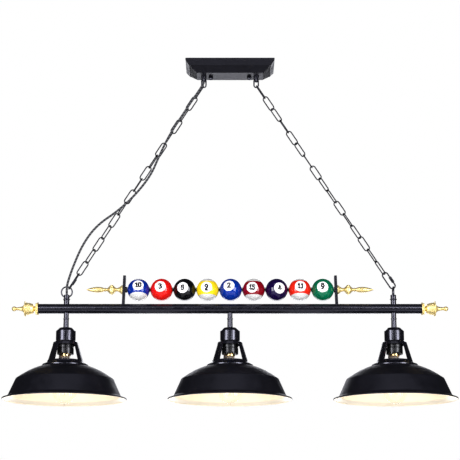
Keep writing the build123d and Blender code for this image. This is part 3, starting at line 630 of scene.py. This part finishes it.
def smooth_line(points, steps=8):
    """Catmull-Rom line through the points."""
    result = []
    for index in range(len(points) - 1):
        four = [Vector(points[min(max(index + shift, 0), len(points) - 1)]) for shift in (-1, 0, 1, 2)]
        for step in range(steps):
            t = step / steps
            value = (four[1] * 2 + (four[2] - four[0]) * t
                     + (four[0] * 2 - four[1] * 5 + four[2] * 4 - four[3]) * t ** 2
                     + (four[1] * 3 - four[0] - four[2] * 3 + four[3]) * t ** 3) * 0.5
            result.append((max(value.x, 0.0), value.y))
    result.append(tuple(points[-1]))
    return result


GLASS = make_glass()
FILAMENT = make_filament_material()
STEM_GLASS = make_stem_glass()
SUPPORT_WIRE = plated_metal("support_wire", (0.5, 0.48, 0.45), (0.66, 0.63, 0.6), 0.3, (1.0, 1.0, 0.1))

# filament: distances below the bar axis, radii of its upper and lower corners, wires
FILAMENT_TOP = 0.176
FILAMENT_LOW = 0.222
FILAMENT_LEGS = 8
CORNER_RING_HIGH = 0.009
CORNER_RING_LOW = 0.0135
FILAMENT_WIRE_R = 0.0004
SUPPORT_WIRE_R = 0.00035
FOOT_BUTTON = 0.1745        # bead on the foot that holds the upper supports
FOOT_END = 0.1785
WIRE_SIDES = 8
# glass foot inside the bulb that carries the wires: radius, distance below the bar axis
FOOT_OUTLINE = ((0.0105, 0.1235), (0.0075, 0.134), (0.0042, 0.146), (0.0032, 0.158), (0.0032, 0.1715),
                (0.0046, FOOT_BUTTON), (0.0032, 0.1775), (0.0, FOOT_END))


def wire(name, lines, radius, materials):
    """Round wire along each line of points."""
    vertices = []
    faces = []
    sides = WIRE_SIDES
    for line in lines:
        points = [Vector(point) for point in line]
        base = len(vertices)
        side = Vector((0.3, 1.0, 0.2))
        for index, here in enumerate(points):
            run = (points[min(index + 1, len(points) - 1)] - points[max(index - 1, 0)]).normalized()
            side = (side - run * side.dot(run)).normalized()
            other = run.cross(side)
            for corner in range(sides):
                angle = 2 * math.pi * corner / sides
                vertices.append(here + radius * (math.cos(angle) * side + math.sin(angle) * other))
        for ring in range(len(points) - 1):
            low = base + ring * sides
            for corner in range(sides):
                following = (corner + 1) % sides
                faces.append((low + corner, low + following, low + sides + following, low + sides + corner))
        last = base + (len(points) - 1) * sides
        faces.append(tuple(reversed(range(base, base + sides))))
        faces.append(tuple(range(last, last + sides)))
    return new_object(name, vertices, faces, materials, 60.0)


def filament_points(x):
    """Corners of the filament's zigzag cage, alternately high and low round the foot."""
    corners = []
    for leg in range(FILAMENT_LEGS + 1):
        angle = 2 * math.pi * (leg - 0.5) / FILAMENT_LEGS - math.pi / 2
        high = leg % 2 == 0
        radius = CORNER_RING_HIGH if high else CORNER_RING_LOW
        level = FILAMENT_TOP if high else FILAMENT_LOW
        corners.append((x + radius * math.cos(angle), radius * math.sin(angle), BAR_Z - level))
    return corners


def make_bulb(side, x):
    """One bulb: glass envelope, glass foot, filament and the wires that hold it."""
    body = f"bulb_{side}"
    outline = smooth_line([(radius, -below) for radius, below in BULB_OUTLINE])
    made = lathe(f"{body}_envelope", outline, (x, 0, BAR_Z), (GLASS,), 96, "Z", False)
    wear(made, body, "bulb_glass", f"bulb_glass_{side}")
    foot = smooth_line([(radius, -below) for radius, below in FOOT_OUTLINE], 5)
    wear(lathe(f"{body}_foot", foot, (x, 0, BAR_Z), (STEM_GLASS,), 32, "Z", False), body, "bulb_glass")
    corners = filament_points(x)
    wear(wire(f"{body}_filament", [corners], FILAMENT_WIRE_R, (FILAMENT,)), body, "bulb_glass")
    hub = Vector((x, 0, BAR_Z - FOOT_BUTTON))
    arms = [(hub, hub.lerp(Vector(corner), 0.6) + Vector((0, 0, 0.002)), corner) for corner in corners[:-1:2]]
    spine = (x, 0, BAR_Z - FOOT_END)
    low_hub = Vector((x, 0, BAR_Z - FILAMENT_LOW + 0.004))
    arms.append((spine, low_hub))
    arms += [(low_hub, low_hub.lerp(Vector(corner), 0.5), corner) for corner in corners[1::2]]
    wear(wire(f"{body}_supports", arms, SUPPORT_WIRE_R, (SUPPORT_WIRE,)), body, "bulb_glass")


for side, x in zip(SIDES, LAMP_X):
    make_bulb(side, x)

# ---------------------------------------------------------------- finishes of the CAD pieces that stay
FINISHES = {
    "canopy": SATIN_BLACK, "canopy_cap_nuts": GLOSS_BLACK, "canopy_loops": GLOSS_BLACK,
    "crossbar": ZINC, "crossbar_screws": ZINC, "stud_nuts": ZINC, "canopy_loop_nuts": ZINC,
    "wire_nuts": NUT_ORANGE, "supply_leads": WIRE_WHITE, "bar_wiring": WIRE_WHITE,
    "chain_top_links": CHAIN_BLACK, "chain_left": CHAIN_BLACK, "chain_right": CHAIN_BLACK,
    "quick_links": CHAIN_BLACK, "quick_link_nut_left": CHAIN_BLACK, "quick_link_nut_right": CHAIN_BLACK,
    "bar_tube": BAR_BLACK, "end_plugs": ZINC, "bar_nipples": ZINC,
    "hanger_left": GLOSS_BLACK, "hanger_right": GLOSS_BLACK,
    "end_finial_left": GILT_BAR, "end_finial_right": GILT_BAR,
    "spear_left": GILT_ROD, "spear_right": GILT_ROD,
    "post_left": SATIN_BLACK, "post_right": SATIN_BLACK, "ball_rod": SATIN_BLACK, "rod_nuts": GLOSS_BLACK,
    "ball_spacers": SPACER_BLACK, "stem_couplings": GLOSS_BLACK, "stems": GLOSS_BLACK,
    "lampholders": HOLDER_BLACK, "screw_shells": BRASS, "shade_rings": HOLDER_BLACK,
}
for side in SIDES:
    FINISHES[f"socket_cup_{side}"] = GLOSS_BLACK
    FINISHES[f"shade_neck_{side}"] = GLOSS_BLACK
    FINISHES[f"bulb_cap_{side}"] = BRASS
for name, material in FINISHES.items():
    node = frame["nodes"][name]
    node.data.materials.clear()
    node.data.materials.append(material)


# ---------------------------------------------------------------- light and floor
COOL = (0.93, 0.94, 1.0)
WARM = (1.0, 0.8, 0.55)
BULB_POWER = 0.45
BULB_LIGHT_R = 0.02
BULB_LIGHT_DROP = 0.2


def area_light(name, place, target, size, power):
    """Rectangular light at a place, turned to a target."""
    data = bpy.data.lights.new(name, "AREA")
    data.shape = "RECTANGLE"
    data.size, data.size_y = size
    data.energy = power
    data.color = COOL
    light = bpy.data.objects.new(name, data)
    light.location = place
    aim = Vector(target) - Vector(place)
    light.rotation_euler = aim.to_track_quat("-Z", "Y").to_euler()
    bpy.context.scene.collection.objects.link(light)


def bulb_light(name, x):
    """Warm light from inside a bulb; only what it lights is seen, not the light itself."""
    data = bpy.data.lights.new(name, "POINT")
    data.energy = BULB_POWER
    data.color = WARM
    data.shadow_soft_size = BULB_LIGHT_R
    light = bpy.data.objects.new(name, data)
    light.location = (x, 0, BAR_Z - BULB_LIGHT_DROP)
    light.visible_camera = False
    light.visible_glossy = False
    light.visible_transmission = False
    bpy.context.scene.collection.objects.link(light)


area_light("front_left", (-2.3, -2.4, -0.75), (0, 0, -0.65), (1.4, 2.2), 100.0)
area_light("front_right", (2.3, -2.4, -0.75), (0, 0, -0.65), (1.4, 2.2), 100.0)
area_light("high_left", (-1.3, -4.0, 0.75), (0, 0, -0.6), (0.9, 1.2), 38.0)
area_light("high_right", (1.3, -4.0, 0.75), (0, 0, -0.6), (0.9, 1.2), 38.0)
area_light("top_front", (0.0, -2.2, 2.2), (0, 0, -0.7), (3.5, 1.6), 14.0)
area_light("back_high", (0.0, 3.6, 0.6), (0, 0, -0.6), (3.0, 1.0), 24.0)
area_light("back_low", (0.0, 3.4, -1.9), (0, 0, -0.3), (3.4, 1.0), 45.0)
for side, x in zip(SIDES, LAMP_X):
    bulb_light(f"bulb_light_{side}", x)

# white to the camera, dim grey to everything else
world = bpy.data.worlds.new("studio")
world.use_nodes = True
world_tree = world.node_tree
background = world_tree.nodes["Background"]
background.inputs["Color"].default_value = (0.05, 0.05, 0.053, 1.0)
seen = world_tree.nodes.new("ShaderNodeBackground")
seen.inputs["Color"].default_value = (1.0, 1.0, 1.0, 1.0)
chooser = world_tree.nodes.new("ShaderNodeMixShader")
rays = world_tree.nodes.new("ShaderNodeLightPath")
world_tree.links.new(rays.outputs["Is Camera Ray"], chooser.inputs["Fac"])
world_tree.links.new(background.outputs[0], chooser.inputs[1])
world_tree.links.new(seen.outputs[0], chooser.inputs[2])
world_tree.links.new(chooser.outputs[0], world_tree.nodes["World Output"].inputs["Surface"])
bpy.context.scene.world = world
bpy.context.scene.view_settings.view_transform = "Standard"
bpy.context.scene.view_settings.gamma = 0.85

FLOOR_Z = -2.4
FLOOR_HALF = 12
floor_material = Material("pale_floor")
floor_material.into(
    floor_material.mix(floor_material.noise(2.0), (0.86, 0.86, 0.86), (0.9, 0.9, 0.9)), "Base Color")
floor_material.put(Roughness=0.8)
floor_corners = [(FLOOR_HALF * x, FLOOR_HALF * y, FLOOR_Z) for x, y in ((-1, -1), (1, -1), (1, 1), (-1, 1))]
floor = new_object("floor", floor_corners, [(0, 1, 2, 3)], (floor_material.data,))
